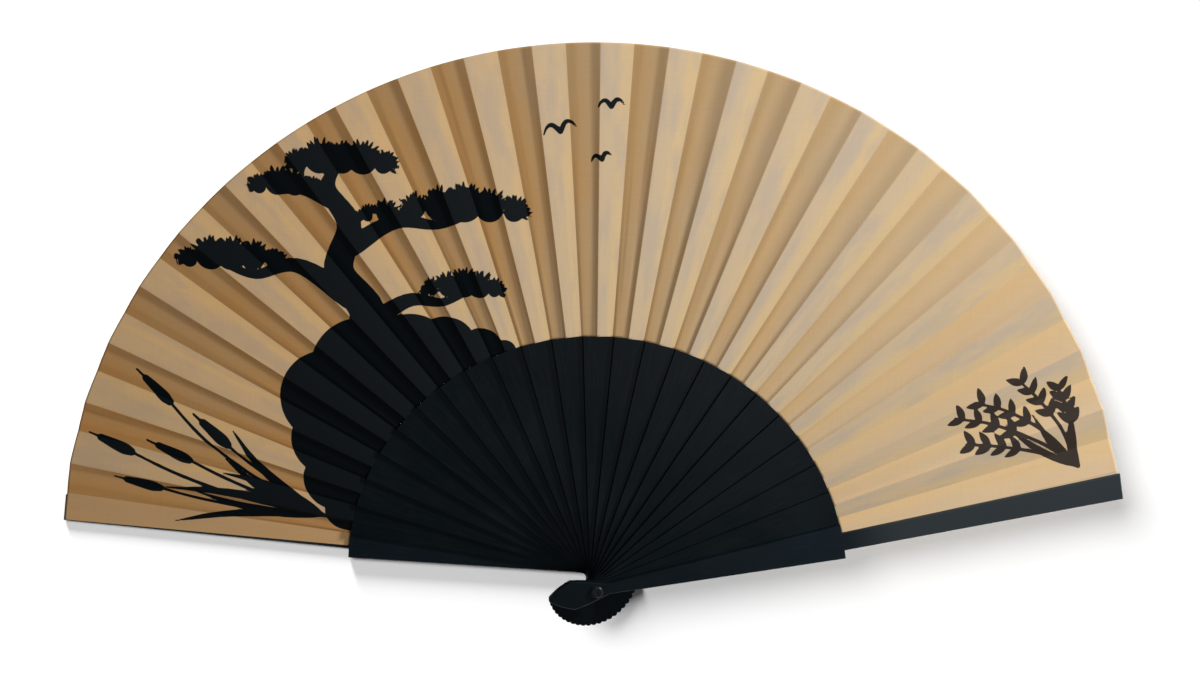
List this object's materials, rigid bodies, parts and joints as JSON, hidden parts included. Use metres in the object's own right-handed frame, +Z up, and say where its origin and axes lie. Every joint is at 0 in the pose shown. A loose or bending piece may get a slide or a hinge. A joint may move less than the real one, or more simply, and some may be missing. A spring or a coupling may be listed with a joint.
{
  "type": "hand fan",
  "caption": "Open folding hand fan: thick outer guards and thin overlapping wooden sticks turn on a rivet, and a pleated cloth leaf on narrow ribs folds between the guards.",
  "frame": {"origin": "on the rivet's axis, in the plane of the rear guard's flat underside that the fan rests on", "axes": "+Z up along the rivet's axis, the leaf opens towards +Y, +X to the right, towards the front guard"},
  "size_m": [0.42, 0.2311, 0.0312],
  "materials": {
    "guard_wood": "satin black lacquer",
    "stick_wood": "satin black lacquer",
    "leaf_cloth": "matt cotton",
    "rivet_metal": "darkened"
  },
  "bodies": {
    "rear_guard": {"rear_guard": "guard_wood", "rivet": "rivet_metal", "washer_rear": "rivet_metal", "washer_front": "rivet_metal", "leaf_end_rear": "leaf_cloth"},
    "front_guard": {"front_guard": "guard_wood", "leaf_end_front": "leaf_cloth"},
    "stick_01": {"stick_01": "stick_wood", "leaf_pleat_01": "leaf_cloth"},
    "stick_02": {"stick_02": "stick_wood", "leaf_pleat_02": "leaf_cloth"},
    "stick_03": {"stick_03": "stick_wood", "leaf_pleat_03": "leaf_cloth"},
    "stick_04": {"stick_04": "stick_wood", "leaf_pleat_04": "leaf_cloth"},
    "stick_05": {"stick_05": "stick_wood", "leaf_pleat_05": "leaf_cloth"},
    "stick_06": {"stick_06": "stick_wood", "leaf_pleat_06": "leaf_cloth"},
    "stick_07": {"stick_07": "stick_wood", "leaf_pleat_07": "leaf_cloth"},
    "stick_08": {"stick_08": "stick_wood", "leaf_pleat_08": "leaf_cloth"},
    "stick_09": {"stick_09": "stick_wood", "leaf_pleat_09": "leaf_cloth"},
    "stick_10": {"stick_10": "stick_wood", "leaf_pleat_10": "leaf_cloth"},
    "stick_11": {"stick_11": "stick_wood", "leaf_pleat_11": "leaf_cloth"},
    "stick_12": {"stick_12": "stick_wood", "leaf_pleat_12": "leaf_cloth"},
    "stick_13": {"stick_13": "stick_wood", "leaf_pleat_13": "leaf_cloth"},
    "stick_14": {"stick_14": "stick_wood", "leaf_pleat_14": "leaf_cloth"},
    "stick_15": {"stick_15": "stick_wood", "leaf_pleat_15": "leaf_cloth"},
    "stick_16": {"stick_16": "stick_wood", "leaf_pleat_16": "leaf_cloth"},
    "stick_17": {"stick_17": "stick_wood", "leaf_pleat_17": "leaf_cloth"},
    "stick_18": {"stick_18": "stick_wood", "leaf_pleat_18": "leaf_cloth"},
    "stick_19": {"stick_19": "stick_wood", "leaf_pleat_19": "leaf_cloth"},
    "stick_20": {"stick_20": "stick_wood", "leaf_pleat_20": "leaf_cloth"},
    "stick_21": {"stick_21": "stick_wood", "leaf_pleat_21": "leaf_cloth"},
    "stick_22": {"stick_22": "stick_wood", "leaf_pleat_22": "leaf_cloth"}
  },
  "joints": [
    {"name": "front_guard_hinge", "type": "hinge", "parent": "rear_guard", "child": "front_guard", "pos_m": [0, 0, 0], "axis": [0, 0, 1], "range_deg": [0, 161.4], "deforming": ["leaf_end_front"]},
    {"name": "stick_01_hinge", "type": "hinge", "parent": "rear_guard", "child": "stick_01", "pos_m": [0, 0, 0], "axis": [0, 0, 1], "range_deg": [0, 7.07], "deforming": ["leaf_pleat_01"]},
    {"name": "stick_02_hinge", "type": "hinge", "parent": "rear_guard", "child": "stick_02", "pos_m": [0, 0, 0], "axis": [0, 0, 1], "range_deg": [0, 14.09], "deforming": ["leaf_pleat_02"]},
    {"name": "stick_03_hinge", "type": "hinge", "parent": "rear_guard", "child": "stick_03", "pos_m": [0, 0, 0], "axis": [0, 0, 1], "range_deg": [0, 21.1], "deforming": ["leaf_pleat_03"]},
    {"name": "stick_04_hinge", "type": "hinge", "parent": "rear_guard", "child": "stick_04", "pos_m": [0, 0, 0], "axis": [0, 0, 1], "range_deg": [0, 28.12], "deforming": ["leaf_pleat_04"]},
    {"name": "stick_05_hinge", "type": "hinge", "parent": "rear_guard", "child": "stick_05", "pos_m": [0, 0, 0], "axis": [0, 0, 1], "range_deg": [0, 35.14], "deforming": ["leaf_pleat_05"]},
    {"name": "stick_06_hinge", "type": "hinge", "parent": "rear_guard", "child": "stick_06", "pos_m": [0, 0, 0], "axis": [0, 0, 1], "range_deg": [0, 42.15], "deforming": ["leaf_pleat_06"]},
    {"name": "stick_07_hinge", "type": "hinge", "parent": "rear_guard", "child": "stick_07", "pos_m": [0, 0, 0], "axis": [0, 0, 1], "range_deg": [0, 49.17], "deforming": ["leaf_pleat_07"]},
    {"name": "stick_08_hinge", "type": "hinge", "parent": "rear_guard", "child": "stick_08", "pos_m": [0, 0, 0], "axis": [0, 0, 1], "range_deg": [0, 56.19], "deforming": ["leaf_pleat_08"]},
    {"name": "stick_09_hinge", "type": "hinge", "parent": "rear_guard", "child": "stick_09", "pos_m": [0, 0, 0], "axis": [0, 0, 1], "range_deg": [0, 63.21], "deforming": ["leaf_pleat_09"]},
    {"name": "stick_10_hinge", "type": "hinge", "parent": "rear_guard", "child": "stick_10", "pos_m": [0, 0, 0], "axis": [0, 0, 1], "range_deg": [0, 70.22], "deforming": ["leaf_pleat_10"]},
    {"name": "stick_11_hinge", "type": "hinge", "parent": "rear_guard", "child": "stick_11", "pos_m": [0, 0, 0], "axis": [0, 0, 1], "range_deg": [0, 77.24], "deforming": ["leaf_pleat_11"]},
    {"name": "stick_12_hinge", "type": "hinge", "parent": "rear_guard", "child": "stick_12", "pos_m": [0, 0, 0], "axis": [0, 0, 1], "range_deg": [0, 84.26], "deforming": ["leaf_pleat_12"]},
    {"name": "stick_13_hinge", "type": "hinge", "parent": "rear_guard", "child": "stick_13", "pos_m": [0, 0, 0], "axis": [0, 0, 1], "range_deg": [0, 91.28], "deforming": ["leaf_pleat_13"]},
    {"name": "stick_14_hinge", "type": "hinge", "parent": "rear_guard", "child": "stick_14", "pos_m": [0, 0, 0], "axis": [0, 0, 1], "range_deg": [0, 98.29], "deforming": ["leaf_pleat_14"]},
    {"name": "stick_15_hinge", "type": "hinge", "parent": "rear_guard", "child": "stick_15", "pos_m": [0, 0, 0], "axis": [0, 0, 1], "range_deg": [0, 105.31], "deforming": ["leaf_pleat_15"]},
    {"name": "stick_16_hinge", "type": "hinge", "parent": "rear_guard", "child": "stick_16", "pos_m": [0, 0, 0], "axis": [0, 0, 1], "range_deg": [0, 112.33], "deforming": ["leaf_pleat_16"]},
    {"name": "stick_17_hinge", "type": "hinge", "parent": "rear_guard", "child": "stick_17", "pos_m": [0, 0, 0], "axis": [0, 0, 1], "range_deg": [0, 119.35], "deforming": ["leaf_pleat_17"]},
    {"name": "stick_18_hinge", "type": "hinge", "parent": "rear_guard", "child": "stick_18", "pos_m": [0, 0, 0], "axis": [0, 0, 1], "range_deg": [0, 126.36], "deforming": ["leaf_pleat_18"]},
    {"name": "stick_19_hinge", "type": "hinge", "parent": "rear_guard", "child": "stick_19", "pos_m": [0, 0, 0], "axis": [0, 0, 1], "range_deg": [0, 133.38], "deforming": ["leaf_pleat_19"]},
    {"name": "stick_20_hinge", "type": "hinge", "parent": "rear_guard", "child": "stick_20", "pos_m": [0, 0, 0], "axis": [0, 0, 1], "range_deg": [0, 140.4], "deforming": ["leaf_pleat_20"]},
    {"name": "stick_21_hinge", "type": "hinge", "parent": "rear_guard", "child": "stick_21", "pos_m": [0, 0, 0], "axis": [0, 0, 1], "range_deg": [0, 147.41], "deforming": ["leaf_pleat_21"]},
    {"name": "stick_22_hinge", "type": "hinge", "parent": "rear_guard", "child": "stick_22", "pos_m": [0, 0, 0], "axis": [0, 0, 1], "range_deg": [0, 154.43], "deforming": ["leaf_pleat_22"]}
  ],
  "couplings": [
    {"joint": "stick_01_hinge", "follows": "front_guard_hinge", "ratio": 0.043478},
    {"joint": "stick_02_hinge", "follows": "front_guard_hinge", "ratio": 0.086957},
    {"joint": "stick_03_hinge", "follows": "front_guard_hinge", "ratio": 0.13043},
    {"joint": "stick_04_hinge", "follows": "front_guard_hinge", "ratio": 0.17391},
    {"joint": "stick_05_hinge", "follows": "front_guard_hinge", "ratio": 0.21739},
    {"joint": "stick_06_hinge", "follows": "front_guard_hinge", "ratio": 0.26087},
    {"joint": "stick_07_hinge", "follows": "front_guard_hinge", "ratio": 0.30435},
    {"joint": "stick_08_hinge", "follows": "front_guard_hinge", "ratio": 0.34783},
    {"joint": "stick_09_hinge", "follows": "front_guard_hinge", "ratio": 0.3913},
    {"joint": "stick_10_hinge", "follows": "front_guard_hinge", "ratio": 0.43478},
    {"joint": "stick_11_hinge", "follows": "front_guard_hinge", "ratio": 0.47826},
    {"joint": "stick_12_hinge", "follows": "front_guard_hinge", "ratio": 0.52174},
    {"joint": "stick_13_hinge", "follows": "front_guard_hinge", "ratio": 0.56522},
    {"joint": "stick_14_hinge", "follows": "front_guard_hinge", "ratio": 0.6087},
    {"joint": "stick_15_hinge", "follows": "front_guard_hinge", "ratio": 0.65217},
    {"joint": "stick_16_hinge", "follows": "front_guard_hinge", "ratio": 0.69565},
    {"joint": "stick_17_hinge", "follows": "front_guard_hinge", "ratio": 0.73913},
    {"joint": "stick_18_hinge", "follows": "front_guard_hinge", "ratio": 0.78261},
    {"joint": "stick_19_hinge", "follows": "front_guard_hinge", "ratio": 0.82609},
    {"joint": "stick_20_hinge", "follows": "front_guard_hinge", "ratio": 0.86957},
    {"joint": "stick_21_hinge", "follows": "front_guard_hinge", "ratio": 0.91304},
    {"joint": "stick_22_hinge", "follows": "front_guard_hinge", "ratio": 0.95652}
  ]
}
